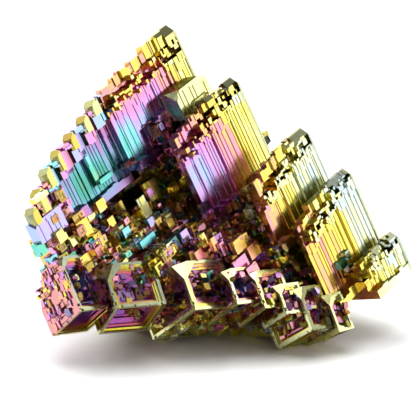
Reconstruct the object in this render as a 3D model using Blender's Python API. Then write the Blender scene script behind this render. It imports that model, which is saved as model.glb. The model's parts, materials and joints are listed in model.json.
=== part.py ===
"""Bismuth hopper crystal: one specimen of stepped fins, skeletal cubes and druse, grown together.

All crystals of the fins share one square lattice, so the fins, their ridges and the lump that
carries them are laid out as whole numbers of growth terraces on that lattice: "down" along a fin,
"front" out of its stepped face and "left" along its ridge, all counted from the first fin's apex.
The front row's skeletal cubes each have a lattice of their own and are fused to the lump.
Layout sizes are in millimetres: across to the right, up, and out towards the front, on a plane
that leans back from the upright. The finished mesh is in metres, +Z up, standing on z = 0.
"""
import math

import bmesh
import bpy
import numpy as np
from mathutils import Matrix, Vector

NODE = "bismuth_crystal"
MM = 0.001
TERRACE = 0.36                      # mm, height and width of one growth terrace
LAYOUT_LEAN = math.radians(20.0)    # the layout plane leans back this far from the upright
SEED = 83

# Driving dimensions, mm: the first fin's apex from the middle of the resting face
APEX = Vector((-9.03, 20.4, 50.2))
# How the lattice's edges run across the layout plane, degrees from level: down, back and right
FIN_SLOPES = (295.0, 185.0, 40.0)

# Lattice space, in terraces: lowest and highest count along down, front and left
SPACE_LOW = (-8, -44, -4)
SPACE_HIGH = (160, 100, 146)

# Fins, in terraces from the first apex. The last one is a low side fin in the shelter of the
# ridge, which starts only where the first fin ends.
FIN_TOPS = (-6, 28, 61, 86, 124, 12)
FIN_FRONTS = (3, 31, 63, 79, 92, -6)
FIN_FEET = (30, 80, 102, 138, 142, 48)
FIN_STARTS = (0, 0, 0, 0, 0, 60)
FIN_WIDTHS = (60, 52, 46, 44, 30, 42)
FIN_LAYERS = (2, 2, 2, 2, 4, 2)     # slabs behind each fin's face, each lower than the one before
LAYER_THICK = 5
LAYER_FALL = 2
RIDGE_FLATS = (10, 18, 18, 18, 18, 4)   # terraces of level ridge beside the apex
RIDGE_FALLS = (0.16, 0.18, 0.22, 0.25, 0.2, 0.3)
FIN_BAND = 12                       # terraces, width of one step of the ridge
RIM = 2                             # terraces, width of a fin's raised rim
# Where a fin's plates begin: terraces below its top at the right rim, and more for each left
PLATE_HEADS = ((15, 0.1), (7, 0.29), (8, 0.33), (6, 0.36), (5, 0.3), (5, 0.1))
PLATE_WIDTHS = (4, 6, 5, 7, 5, 4)   # the plates' widths repeat in this order
PLATE_DROPS = (1, 1, 2, 3, 3, 4, 5, 5, 6, 5, 7, 6, 7, 7, 6, 7)
CRUST_BLOCK = (3, 7)                # terraces, shortest and longest block of the ridge crust
CRUST_TALL = 7
# The first fin has a second, longer flight of plates: its start, its foot and how that rises
SECOND_FLIGHT = (36, 47, 0.17)

# The first fin's ridge goes on to the left in steps: (left end, top), in terraces
RIDGE_STEPS = ((70, 3), (79, 7), (91, 10), (103, 13), (114, 17), (124, 23), (132, 29))
RIDGE_THICK = 6
RIDGE_HEIGHT = 15

# Crystals of their own on the same lattice: (low, high) counts down, front and left
SINGLE_CRYSTALS = (
    ((24, 36), (4, 12), (12, 28)),
    ((29, 38), (10, 20), (10, 22)),
    ((26, 44), (-4, 6), (-3, 8)),
    ((36, 47), (-8, -1), (114, 133)),
)

# Open hollow between the first fin and what stands before it: the lump keeps behind this front
HOLLOW_LEFT = (36, 104)             # counts left where the hollow widens and where it ends
HOLLOW_FOOT = 60
HOLLOW_FRONT = -7
HOLLOW_RISE = 1.5                   # its floor comes forward this much for each terrace down

# Druse: small cubes on the lump's open front, between the fins and the front row
DRUSE_COUNT = 64
DRUSE_SIZES = (4, 7)                # terraces, smallest and largest cube
DRUSE_FROM = (24, 60)               # counts down and left where the druse starts

# The lump that carries the crystals: corners of its envelope (across, up, out from the apex, mm)
LUMP = (
    (-4.0, -9.0, -2.2), (-23.8, -33.5, 20.9), (-23.0, -39.6, 20.5), (-13.5, -51.1, 16.2),
    (27.0, -52.2, 11.2), (37.4, -42.1, 6.5), (38.2, -44.5, 4.7), (14.9, -17.5, 3.2),
    (-7.9, -55.1, 3.6), (23.9, -55.8, 5.8), (-4.0, -50.2, -8.8), (26.6, -50.8, -7.2),
    (-8.6, -13.9, -4.0), (13.1, -17.5, -5.4),
)
LUMP_BLOCK = (6, 11)                # terraces, smallest and largest block of the lump
LUMP_ROUGH = 0.8                    # mm, how far a block's reach wanders from the envelope

# Front row: nearest corner (across, up, out from the apex, mm), edges (up, right, left-down, mm),
# how those edges run across the layout plane, degrees from level, and how much of each edge the
# cut top corner takes, mm
FRONT_ROW = (
    ((-15.5, -50.2, 27.0), (10.8, 8.1, 9.4), (115.0, 5.0, 222.0), 2.0),
    ((-9.5, -49.7, 26.1), (9.0, 9.9, 9.4), (109.0, 3.0, 236.0), 3.6),
    ((4.3, -50.2, 24.3), (9.4, 10.4, 13.0), (110.0, 3.0, 217.0), 3.4),
    ((11.7, -49.3, 22.3), (6.8, 6.8, 9.4), (110.0, 5.0, 219.0), 2.2),
    ((16.6, -50.0, 21.2), (7.2, 6.5, 8.6), (110.0, 5.0, 221.0), 2.0),
    ((20.4, -51.1, 20.9), (5.8, 5.4, 6.8), (110.0, 5.0, 217.0), 1.8),
    ((25.0, -54.0, 19.8), (8.3, 6.1, 9.4), (110.0, 5.0, 212.0), 2.4),
    ((29.9, -54.5, 17.1), (7.2, 4.0, 9.0), (110.0, 12.0, 209.0), 2.2),
)
LEFT_BREAK = -22.9                  # mm across from the apex, where the first cube is broken off
FRAME_WIDTH = 2                     # terraces, width of a skeletal cube's frame
PIT_STEP = 2                        # terraces, run and drop of each step of a cube's pit
PIT_LEVELS = 4
CORNER_WALL = 2                     # terraces of metal kept behind a cut corner
APEX_CUT = 1.9                      # mm, how much of each edge a fin's cut apex takes


# ---------------------------------------------------------------- layout

def remove_everything():
    """Empty the scene of the objects it starts with."""
    for thing in list(bpy.data.objects):
        bpy.data.objects.remove(thing, do_unlink=True)


def to_world(layout):
    """Turn a layout direction (across, up, out) into a world direction."""
    across, up, out = layout
    lean_sin = math.sin(LAYOUT_LEAN)
    lean_cos = math.cos(LAYOUT_LEAN)
    return Vector((across, up * lean_sin - out * lean_cos, up * lean_cos + out * lean_sin))


def square_edges(slopes):
    """World directions of three square edges that all run back from their shared corner.

    Each edge is known by its slope across the layout plane. Two edges are square when the
    product of their layout lengths times the cosine between them cancels the product of their
    depths, which fixes how much of each edge runs back.
    """
    angles = [math.radians(slope) for slope in slopes]
    edges = []
    for index, angle in enumerate(angles):
        one = angles[(index + 1) % 3]
        other = angles[(index + 2) % 3]
        ratio = -math.cos(angle - one) * math.cos(angle - other) / math.cos(one - other)
        flat = 1.0 / math.sqrt(1.0 + ratio)
        depth = math.sqrt(1.0 - flat * flat)
        edges.append(to_world((flat * math.cos(angle), flat * math.sin(angle), -depth)))
    return edges


def layout_point(place):
    """World place, mm, of a layout place counted from the first apex."""
    return APEX + to_world(place)


# ---------------------------------------------------------------- cells of a lattice

def cell_slice(low, high, start):
    """The slice of a cell array between two terrace counts along one axis."""
    return slice(max(0, int(low) - start), max(0, int(high) - start))


def fill(cells, down, front, left, solid=True):
    """Fill or clear the cells between the given (low, high) counts."""
    spans = zip((down, front, left), SPACE_LOW)
    window = tuple(cell_slice(span[0], span[1], start) for span, start in spans)
    cells[window] = solid


def random_edges(rng, low, high, sizes):
    """Block edges from low to high, with random widths between the two sizes."""
    edges = [low]
    while edges[-1] < high:
        edges.append(edges[-1] + int(rng.integers(sizes[0], sizes[1] + 1)))
    return edges


def envelope_planes(corners):
    """Inside-out planes (normals and offsets) of the convex hull round the given corners."""
    bm = bmesh.new()
    for corner in corners:
        bm.verts.new(corner)
    bmesh.ops.convex_hull(bm, input=bm.verts[:])
    bmesh.ops.recalc_face_normals(bm, faces=bm.faces[:])
    normals = np.array([face.normal[:] for face in bm.faces])
    offsets = np.array([face.normal.dot(face.verts[0].co) for face in bm.faces])
    bm.free()
    return normals, offsets


def front_limit(down, left):
    """How far to the front the lump may reach: behind the first fin whose foot is still lower."""
    reach = FIN_FRONTS[4]
    for index in (4, 3, 2, 1, 0):
        if down < FIN_FEET[index]:
            reach = FIN_FRONTS[index]
    if down < HOLLOW_FOOT:
        reach = FIN_FRONTS[0]
    if HOLLOW_LEFT[0] < left <= HOLLOW_LEFT[1]:
        reach = min(reach, HOLLOW_FRONT + HOLLOW_RISE * max(0, down - HOLLOW_FOOT))
    return reach


def add_lump(cells, rng, axes):
    """Fill every random block whose middle lies inside the lump's envelope."""
    normals, offsets = envelope_planes([layout_point(corner) for corner in LUMP])
    spans = [random_edges(rng, low, high, LUMP_BLOCK) for low, high in zip(SPACE_LOW, SPACE_HIGH)]
    for down in zip(spans[0], spans[0][1:]):
        for front in zip(spans[1], spans[1][1:]):
            for left in zip(spans[2], spans[2][1:]):
                middle = [sum(down) / 2, sum(front) / 2, sum(left) / 2]
                place = np.array(APEX) + TERRACE * (np.array(axes).T @ middle)
                reach = rng.uniform(-LUMP_ROUGH, LUMP_ROUGH)
                inside = np.all(normals @ place < offsets + reach)
                if inside and middle[1] < front_limit(middle[0], middle[2]) - 2 and middle[2] > 0:
                    fill(cells, down, front, left)


def fin_floor(index, left):
    """How far down a fin's stepped face reaches at a given count to the left."""
    turn, foot, rise = SECOND_FLIGHT
    if index == 0 and left > turn:
        return foot - rise * (left - turn)
    return FIN_FEET[index]


def plate_head(index, left):
    """How far down a fin's plates begin at a given count to the left of its right rim."""
    start, slope = PLATE_HEADS[index]
    return FIN_TOPS[index] + start + slope * left


def add_fin(cells, index):
    """A fin: slabs one behind the other, each with a ridge that steps down to the left."""
    top, front, start = FIN_TOPS[index], FIN_FRONTS[index], FIN_STARTS[index]
    for layer in range(FIN_LAYERS[index]):
        face = front - LAYER_THICK * layer
        for left in range(0, FIN_WIDTHS[index], FIN_BAND):
            fall = RIDGE_FALLS[index] * max(0, left - RIDGE_FLATS[index])
            ridge = top + fall + LAYER_FALL * layer
            foot = fin_floor(index, left) + 4
            if layer < 2 or left > 6 * layer:
                fill(cells, (ridge, foot), (face - LAYER_THICK, face),
                     (start + left, start + left + FIN_BAND))


def cut_plates(cells, index):
    """Step the fin's front face down to the left, one plate after another."""
    front, start = FIN_FRONTS[index], FIN_STARTS[index]
    left = RIM
    turn = 0
    while left < FIN_WIDTHS[index]:
        right = left
        left += PLATE_WIDTHS[(turn + index) % len(PLATE_WIDTHS)]
        drop = PLATE_DROPS[turn]
        turn += 1
        fill(cells, (plate_head(index, right), fin_floor(index, right)), (front - drop, front + 1),
             (start + right, start + left), False)


def add_crust(cells, rng, index):
    """Rough hollows along a fin's ridge, above the heads of its plates."""
    front, start = FIN_FRONTS[index], FIN_STARTS[index]
    edges = random_edges(rng, 6, FIN_WIDTHS[index], CRUST_BLOCK)
    for low, high in zip(edges, edges[1:]):
        head = plate_head(index, low)
        sunk = int(rng.integers(3, 9))
        fill(cells, (head - CRUST_TALL, head), (front - sunk, front + 1),
             (start + low, start + high - 1), False)


def add_ridge(cells, rng):
    """The long stepped ridge that carries on from the first fin to the specimen's left end."""
    start = FIN_WIDTHS[0]
    for end, top in RIDGE_STEPS:
        fill(cells, (top, top + RIDGE_HEIGHT), (-RIDGE_THICK, 0), (start, end))
        notch = int(rng.integers(2, 5))
        fill(cells, (top - 1, top + notch), (-4, 1), (start, start + 5), False)
        start = end


def add_single_crystals(cells):
    """Crystals that stand by themselves between the fins."""
    for down, front, left in SINGLE_CRYSTALS:
        fill(cells, down, front, left)


def add_druse(cells, rng):
    """Small cubes standing out of whichever open faces they happen on."""
    down, left = DRUSE_FROM[0] - SPACE_LOW[0], DRUSE_FROM[1] - SPACE_LOW[2]
    open_front = cells[:, :-1] & ~cells[:, 1:]
    spots = np.argwhere(open_front[down:, :, left:]) + (down, 0, left)
    for spot in rng.permutation(spots)[:DRUSE_COUNT]:
        size = int(rng.integers(DRUSE_SIZES[0], DRUSE_SIZES[1] + 1))
        low = spot - rng.integers(1, size, 3)
        low[1] = spot[1] - 1
        high = low + size
        cells[low[0]:high[0], low[1]:high[1], low[2]:high[2]] = True


def sealed(cells):
    """Fill cells until no two solid cells meet only along an edge or at a corner."""
    changed = True
    while changed:
        before = cells.sum()
        for axis in range(3):
            turned = np.moveaxis(cells, axis, 0)
            a, b = turned[:, :-1, :-1], turned[:, 1:, :-1]
            c, d = turned[:, :-1, 1:], turned[:, 1:, 1:]
            crossed = (a & d & ~b & ~c) | (b & c & ~a & ~d)
            a |= crossed
            b |= crossed
            c |= crossed
            d |= crossed
        changed = cells.sum() != before
    return cells


def lattice_mesh(cells, start, axes):
    """A closed mesh (bmesh, mm) round the solid cells, its flat stretches joined into one face."""
    solid = np.pad(cells, 1)
    corners = []
    flip = axes[0].cross(axes[1]).dot(axes[2]) < 0
    for axis in range(3):
        for side in (-1, 1):
            open_side = solid & ~np.roll(solid, -side, axis)
            spots = np.argwhere(open_side) - 1
            one, two = (axis + 1) % 3, (axis + 2) % 3
            square = np.zeros((4, 3), dtype=int)
            square[:, axis] = side > 0
            square[[1, 2], one] = 1
            square[[2, 3], two] = 1
            if (side < 0) != flip:
                square = square[::-1]
            corners.append((spots[:, None, :] + square[None]).reshape(-1, 3))
    places, faces = np.unique(np.concatenate(corners), axis=0, return_inverse=True)
    points = (places + start) @ (np.array([axis[:] for axis in axes]) * TERRACE)
    mesh = bpy.data.meshes.new("cells")
    mesh.from_pydata(points.tolist(), [], faces.reshape(-1, 4).tolist())
    bm = bmesh.new()
    bm.from_mesh(mesh)
    bpy.data.meshes.remove(mesh)
    keep_largest_shell(bm)
    bmesh.ops.dissolve_limit(bm, angle_limit=0.01, verts=bm.verts[:], edges=bm.edges[:])
    return bm


def keep_largest_shell(bm):
    """Remove loose crumbs and sealed hollows, leaving the shell with the most faces."""
    waiting = set(bm.faces)
    shells = []
    while waiting:
        front = [waiting.pop()]
        shell = set(front)
        while front:
            face = front.pop()
            near = {other for edge in face.edges for other in edge.link_faces} - shell
            shell |= near
            waiting -= near
            front.extend(near)
        shells.append(shell)
    largest = max(shells, key=len)
    crumbs = [face for face in bm.faces if face not in largest]
    bmesh.ops.delete(bm, geom=crumbs, context="FACES")


def new_object(name, bm, origin):
    """An object holding a bmesh made in mm, moved to its world origin (mm)."""
    bmesh.ops.scale(bm, vec=(MM, MM, MM), verts=bm.verts[:])
    bmesh.ops.translate(bm, vec=origin * MM, verts=bm.verts[:])
    mesh = bpy.data.meshes.new(name)
    bm.to_mesh(mesh)
    bm.free()
    thing = bpy.data.objects.new(name, mesh)
    bpy.context.scene.collection.objects.link(thing)
    return thing


# ---------------------------------------------------------------- fins, ridge and lump

def make_fins():
    """Everything that shares the fins' lattice, as one closed object."""
    rng = np.random.default_rng(SEED)
    back_edges = square_edges(FIN_SLOPES)
    axes = (back_edges[0], -back_edges[1], -back_edges[2])
    shape = [high - low for low, high in zip(SPACE_LOW, SPACE_HIGH)]
    cells = np.zeros(shape, dtype=bool)
    add_lump(cells, rng, axes)
    add_druse(cells, rng)
    for index in range(len(FIN_TOPS)):
        add_fin(cells, index)
    for index in range(len(FIN_TOPS)):
        cut_plates(cells, index)
        add_crust(cells, rng, index)
    add_ridge(cells, rng)
    add_single_crystals(cells)
    bm = lattice_mesh(sealed(cells), np.array(SPACE_LOW), axes)
    return new_object(NODE, bm, APEX), axes


# ---------------------------------------------------------------- front row

def sink_pit(cells, axis):
    """Cut a stepped square pit into the near side across one axis."""
    along = [other for other in range(3) if other != axis]
    sizes = cells.shape
    for level in range(PIT_LEVELS):
        inset = FRAME_WIDTH + PIT_STEP * level
        window = [slice(None)] * 3
        window[axis] = slice(0, PIT_STEP * (level + 1))
        for other in along:
            window[other] = slice(inset, sizes[other] - inset)
        room = min(sizes[other] - 2 * inset for other in along)
        if room > 1:
            cells[tuple(window)] = False


def keep_corner(cells, cut):
    """Refill the top near corner, so that the corner's cut is a full triangle."""
    up, right, below = np.ogrid[:cells.shape[0], :cells.shape[1], :cells.shape[2]]
    away = (cells.shape[0] - up) + right + below
    cells[away < cut / TERRACE + CORNER_WALL] = True


def make_cube(name, corner, edges, slopes, cut):
    """A skeletal cube with a stepped pit in each near face, and its top corner cut off."""
    axes = square_edges(slopes)
    sizes = [max(6, round(edge / TERRACE)) for edge in edges]
    cells = np.ones(sizes, dtype=bool)
    for axis in range(3):
        sink_pit(cells, axis)
    keep_corner(cells, cut)
    bm = lattice_mesh(sealed(cells), np.zeros(3), axes)
    tip = axes[0] * sizes[0] * TERRACE
    facing = axes[0] - axes[1] - axes[2]
    sliced = bmesh.ops.bisect_plane(bm, geom=bm.verts[:] + bm.edges[:] + bm.faces[:],
                                    plane_co=tip - axes[0] * cut, plane_no=facing,
                                    clear_outer=True)
    rim = [item for item in sliced["geom_cut"] if isinstance(item, bmesh.types.BMEdge)]
    bmesh.ops.holes_fill(bm, edges=rim, sides=0)
    return new_object(name, bm, layout_point(corner))


# ---------------------------------------------------------------- joining

def make_cutter(name, centre, facing, size):
    """A block whose flat lower face, square to facing, passes through the given place (mm)."""
    bm = bmesh.new()
    bmesh.ops.create_cube(bm, size=size)
    turn = facing.to_track_quat("Z", "Y").to_matrix().to_4x4()
    place = Matrix.Translation(centre + facing.normalized() * size / 2)
    bmesh.ops.transform(bm, matrix=place @ turn, verts=bm.verts[:])
    thing = new_object(name, bm, Vector())
    thing.hide_render = True
    thing.display_type = "WIRE"
    return thing


def apply_boolean(body, others, operation):
    """Join the other objects to the body, or cut them from it, and remove them."""
    group = bpy.data.collections.new(operation)
    bpy.context.scene.collection.children.link(group)
    for other in others:
        group.objects.link(other)
    step = body.modifiers.new(operation, "BOOLEAN")
    step.operation = operation
    step.operand_type = "COLLECTION"
    step.collection = group
    step.solver = "EXACT"
    bpy.context.view_layer.update()
    result = bpy.data.meshes.new_from_object(body.evaluated_get(bpy.context.evaluated_depsgraph_get()))
    body.modifiers.clear()
    body.data = result
    for other in others:
        bpy.data.objects.remove(other, do_unlink=True)
    bpy.data.collections.remove(group)


def close_up(body):
    """Drop crumbs and sealed hollows that the joining left, and leave plain triangles."""
    bm = bmesh.new()
    bm.from_mesh(body.data)
    bmesh.ops.triangulate(bm, faces=bm.faces[:])
    keep_largest_shell(bm)
    bm.to_mesh(body.data)
    bm.free()


def apex_cutters(axes):
    """Blocks that cut the top corner off each fin."""
    cutters = []
    facing = axes[1] - axes[0] - axes[2]
    for index, (top, front, start) in enumerate(zip(FIN_TOPS, FIN_FRONTS, FIN_STARTS)):
        corner = APEX + TERRACE * (axes[0] * top + axes[1] * front)
        if start == 0:
            cutters.append(make_cutter(f"apex_cut_{index}", corner + axes[0] * APEX_CUT, facing, 8.0))
    return cutters


def finish_surface():
    """Polished bismuth under a thin coloured oxide film."""
    material = bpy.data.materials.new("oxide_film")
    material.use_nodes = True
    shader = material.node_tree.nodes["Principled BSDF"]
    shader.inputs["Base Color"].default_value = (0.62, 0.50, 0.42, 1.0)
    shader.inputs["Metallic"].default_value = 1.0
    shader.inputs["Roughness"].default_value = 0.22
    return material


def main():
    remove_everything()
    body, axes = make_fins()
    apply_boolean(body, apex_cutters(axes), "DIFFERENCE")
    cubes = [make_cube(f"cube_{number}", *row) for number, row in enumerate(FRONT_ROW)]
    broken = make_cutter("left_break", layout_point((LEFT_BREAK, *FRONT_ROW[0][0][1:])),
                         Vector((-1.0, 0.0, 0.0)), 30.0)
    apply_boolean(cubes[0], [broken], "DIFFERENCE")
    apply_boolean(body, cubes, "UNION")
    floor = make_cutter("floor", Vector(), Vector((0.0, 0.0, -1.0)), 200.0)
    apply_boolean(body, [floor], "DIFFERENCE")
    close_up(body)
    body.data.materials.clear()
    body.data.materials.append(finish_surface())
    corners = np.array([vertex.co[:] for vertex in body.data.vertices])
    print("box, mm:", corners.min(axis=0) / MM, corners.max(axis=0) / MM)
    print("triangles:", len(body.data.polygons))


main()
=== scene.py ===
# %% [markdown]
# # A bismuth hopper crystal
#
# Molten bismuth freezes into skeletal cubes: the edges grow faster than the middles of the faces,
# so each face becomes a stepped pit with a raised frame. As the crystals are lifted out hot, an
# oxide film grows on them, and its thickness colours the mirror-bright metal yellow, pink, violet,
# blue and green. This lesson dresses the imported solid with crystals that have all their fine
# terraces. The whole specimen is one piece, so everything made here rides on the same body.

# %% The frame and its box
import json
import math

import bmesh
import bpy
import numpy as np
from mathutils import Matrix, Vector

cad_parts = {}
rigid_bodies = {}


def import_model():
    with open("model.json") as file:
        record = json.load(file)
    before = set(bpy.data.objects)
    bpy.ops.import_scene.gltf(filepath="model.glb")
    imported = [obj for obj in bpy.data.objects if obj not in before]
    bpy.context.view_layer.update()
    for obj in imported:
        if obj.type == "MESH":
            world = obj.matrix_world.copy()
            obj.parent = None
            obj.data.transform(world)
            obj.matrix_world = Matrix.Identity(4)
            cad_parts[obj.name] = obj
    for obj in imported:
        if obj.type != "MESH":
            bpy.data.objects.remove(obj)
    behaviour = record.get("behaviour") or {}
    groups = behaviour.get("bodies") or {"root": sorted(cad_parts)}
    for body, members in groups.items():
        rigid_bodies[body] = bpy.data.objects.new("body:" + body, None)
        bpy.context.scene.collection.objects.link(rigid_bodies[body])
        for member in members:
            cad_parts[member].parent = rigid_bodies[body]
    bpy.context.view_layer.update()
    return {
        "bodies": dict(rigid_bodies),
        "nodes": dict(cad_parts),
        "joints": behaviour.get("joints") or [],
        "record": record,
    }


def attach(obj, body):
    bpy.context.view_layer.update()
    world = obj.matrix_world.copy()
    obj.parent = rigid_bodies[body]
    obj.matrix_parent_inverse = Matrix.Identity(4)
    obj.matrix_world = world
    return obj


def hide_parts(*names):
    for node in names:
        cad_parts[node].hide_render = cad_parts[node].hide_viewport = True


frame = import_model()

NODE = "bismuth_crystal"
MM = 0.001

# %% [markdown]
# ## The layout
#
# The crystals are laid out as a maker would sketch them: across, up and out towards the front, on
# a plane that leans back by 20 degrees. Three edges of a cube that run back from one shared corner
# are known completely by their slopes across that plane, because they must stay square to each
# other. So a crystal's turn is written as three slopes, which is easier to picture than a matrix.

# %% Layout directions and square edges
LAYOUT_LEAN = math.radians(20.0)
TERRACE = 0.36                       # mm, one coarse growth terrace
FINE = TERRACE / 2                   # mm, the finest terrace that is modelled
APEX = np.array((-9.03, 20.4, 50.2))


def to_world(layout):
    """World direction(s) of layout direction(s): across stays x, up and out share y and z."""
    across, up, out = np.moveaxis(np.asarray(layout, dtype=float), -1, 0)
    lean_sin, lean_cos = math.sin(LAYOUT_LEAN), math.cos(LAYOUT_LEAN)
    return np.stack((across, up * lean_sin - out * lean_cos, up * lean_cos + out * lean_sin), -1)


def layout_point(place):
    """World place, mm, of a layout place counted from the first fin's apex."""
    return APEX + to_world(place)


def square_edges(slopes):
    """Unit edges from slopes in degrees: depth² over length² is minus cos·cos over cos."""
    angles = np.radians(slopes)
    one, other = np.roll(angles, -1), np.roll(angles, -2)
    ratio = -np.cos(angles - one) * np.cos(angles - other) / np.cos(one - other)
    flat = 1.0 / np.sqrt(1.0 + ratio)
    depth = np.sqrt(1.0 - flat ** 2)
    return to_world(np.stack((flat * np.cos(angles), flat * np.sin(angles), -depth), -1))


back_edges = square_edges((295.0, 185.0, 40.0))
LATTICE = np.array((back_edges[0], -back_edges[1], -back_edges[2]))
print("down, front and left of the fins' lattice:\n", LATTICE.round(2))

# %% [markdown]
# ## Shells round solid cells
#
# Every crystal here starts as an array of small cells, each solid or empty. That suits bismuth,
# which really does grow in whole terraces: a pit is cut by clearing a box of cells, a frame is what
# is left. The surface is then the set of squares between a solid cell and an empty one, found for
# the whole array at once. Flat stretches of squares are joined afterwards, so that a plate is one
# clean face however many cells it covers.

# %% Squares between solid and empty cells
def sealed(cells):
    """Fill cells until no two solid cells meet along an edge alone."""
    filled = -1
    while filled != cells.sum():
        filled = cells.sum()
        for axis in range(3):
            turned = np.moveaxis(cells, axis, 0)
            a, b = turned[:, :-1, :-1], turned[:, 1:, :-1]
            c, d = turned[:, :-1, 1:], turned[:, 1:, 1:]
            crossed = (a & d & ~b & ~c) | (b & c & ~a & ~d)
            for corner in (a, b, c, d):
                corner |= crossed
    return cells


def cell_shell(cells, axes):
    """Corner places (in cells) and squares of the surface between solid and empty cells."""
    solid = np.pad(cells, 1)
    flip = np.linalg.det(axes) < 0
    corners = []
    for axis in range(3):
        for side in (-1, 1):
            spots = np.argwhere(solid & ~np.roll(solid, -side, axis)) - 1
            square = np.zeros((4, 3), dtype=int)
            square[:, axis] = side > 0
            square[[1, 2], (axis + 1) % 3] = 1
            square[[2, 3], (axis + 2) % 3] = 1
            if (side < 0) != flip:
                square = square[::-1]
            corners.append((spots[:, None, :] + square).reshape(-1, 3))
    places, index = np.unique(np.concatenate(corners), axis=0, return_inverse=True)
    return places, index.reshape(-1, 4)


def filled_bmesh(places, faces):
    """A bmesh with the given corners, mm, and faces."""
    mesh = bpy.data.meshes.new("crystal")
    mesh.from_pydata(places.tolist(), [], faces.tolist())
    bm = bmesh.new()
    bm.from_mesh(mesh)
    bpy.data.meshes.remove(mesh)
    return bm


def crystal_mesh(cells, axes, origin, step=FINE):
    """A bmesh, mm, of the cells' surface, each flat stretch joined into one face."""
    places, squares = cell_shell(sealed(cells), axes)
    bm = filled_bmesh(places @ (axes * step) + origin, squares)
    bmesh.ops.dissolve_limit(bm, angle_limit=0.01, verts=bm.verts[:], edges=bm.edges[:])
    return bm


def trim(bm, place, facing):
    """Cut a crystal along a plane, drop the side that faces outwards, and close the cut."""
    cut = bmesh.ops.bisect_plane(bm, geom=bm.verts[:] + bm.edges[:] + bm.faces[:],
                                 plane_co=Vector(place), plane_no=Vector(facing),
                                 clear_outer=True)
    rim = [item for item in cut["geom_cut"] if isinstance(item, bmesh.types.BMEdge)]
    bmesh.ops.holes_fill(bm, edges=rim, sides=0)


FLOOR_CUT = ((0.0, 0.0, 0.0), (0.0, 0.0, -1.0))    # what would stand below the floor goes

# %% [markdown]
# ## One mesh from many crystals
#
# Each face carries five numbers for the finish: `film`, how much thicker or thinner its oxide is
# than its surroundings, `rim`, how bare and grey it is, a painted shade, how far its colour is
# mixed towards near black to stand for the shade in crevices, hollows and gaps, `lean`, how far
# its fine growth lines lean its mirror upwards, and `zoned`, which is 0 where `film` is the whole
# thickness. Crystals are gathered into one mesh, as they are grown together, and the gathering
# keeps all five numbers.

# %% Gathering crystals into a piece
rng = np.random.default_rng(83)
MATERIAL_NAME = "oxide_film"
SQUARE_ON = 0.99                     # a face square to its lattice has a normal part over this
FACING = 0.9                         # and it faces an axis when that part is over this
# Among these numbers, the painted shade says how far a face's colour is mixed towards near black.
FACE_NUMBERS = ("film", "rim", "dark", "lean", "zoned")


def pick(low, high):
    """A random whole number from low up to, but not, high."""
    return int(rng.integers(low, high))


def add_object(name, data):
    """A new object in the scene's collection."""
    made = bpy.data.objects.new(name, data)
    bpy.context.scene.collection.objects.link(made)
    return made


def face_places(bm):
    """Middles of a bmesh's faces, mm."""
    return np.array([face.calc_center_median()[:] for face in bm.faces])


def face_table(bm, axes, origin):
    """Each face's middle, in fine terraces along the axes, and its normal along the axes."""
    bm.normal_update()
    turn = np.linalg.inv(np.asarray(axes))
    normals = np.array([face.normal[:] for face in bm.faces])
    return (face_places(bm) - origin) @ turn / FINE, normals @ turn


# Open hollows of the specimen: faces inside them get painted shade, darker towards the middle.
HOLLOWS = (
    # middle across, up, out from the apex (mm), radius (mm)
    ((-7.0, -28.8, 4.0), 5.6),
    ((0.0, -18.2, 2.5), 2.6),
    ((-16.5, -24.0, 6.5), 2.4),
)
HOLLOW_PAINTED_SHADE_MOST = 0.95                # painted shade in the middle of a hollow, as a share towards near black


def hollow_shade(places):
    """Painted shade at places, mm: darkest x (1 - (distance / radius) to the 4th)."""
    shade = np.zeros(len(places))
    for middle, radius in HOLLOWS:
        share = np.linalg.norm(places - layout_point(middle), axis=1) / radius
        shade = np.maximum(shade, HOLLOW_PAINTED_SHADE_MOST * (1.0 - share ** 4))
    return shade


class Cluster:
    """Crystals gathered into one mesh, with five numbers for the finish on each face."""

    def __init__(self):
        self.bm = bmesh.new()
        for name in FACE_NUMBERS:
            self.bm.faces.layers.float.new(name)

    def add(self, bm, film=0.0, spread=0.04, rim=0.0, dark=0.0, lean=0.0, zoned=1.0):
        """Take in a crystal, free its bmesh, and store its faces' numbers.

        Film is added to the map of zones where zoned is 1, and stands alone where it is 0.
        """
        count = len(bm.faces)
        shifts = np.broadcast_to(film, count) + rng.normal(0.0, spread, count)
        for name, values in zip(FACE_NUMBERS, (shifts, rim, dark, lean, zoned)):
            layer = bm.faces.layers.float.new(name)
            for face, value in zip(bm.faces, np.broadcast_to(values, count)):
                face[layer] = value
        mesh = bpy.data.meshes.new("part")
        bm.to_mesh(mesh)
        bm.free()
        self.bm.from_mesh(mesh)
        bpy.data.meshes.remove(mesh)

    def shade_hollows(self):
        """Paint shade onto the faces that stand inside one of the specimen's open hollows, darkening
        their colour.
        """
        layer = self.bm.faces.layers.float["dark"]
        for face, shade in zip(self.bm.faces, hollow_shade(face_places(self.bm))):
            face[layer] = max(face[layer], shade)

    def finish(self, name):
        """Make the object, in metres at the origin, and let it ride on the specimen's body."""
        self.shade_hollows()
        bmesh.ops.scale(self.bm, vec=(MM, MM, MM), verts=self.bm.verts[:])
        mesh = bpy.data.meshes.new(name)
        self.bm.to_mesh(mesh)
        self.bm.free()
        piece = add_object(name, mesh)
        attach(piece, "root")
        triangles = sum(len(face.vertices) - 2 for face in mesh.polygons)
        print(f"{name}: {len(mesh.polygons)} faces, {triangles} triangles")
        return piece


# %% [markdown]
# ## The map of the film
#
# How thick the film has grown is a map over the whole specimen: thin and silvery at the far right,
# yellow along the outer ridges, and swelling through pink and violet to green round a few hearts
# that cooled last. It is written once as a table of hearts. The finish turns the table into shader
# nodes, and the same sum is done here in numpy, so that a single crystal can be given a film that
# differs from its surroundings on purpose.

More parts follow.
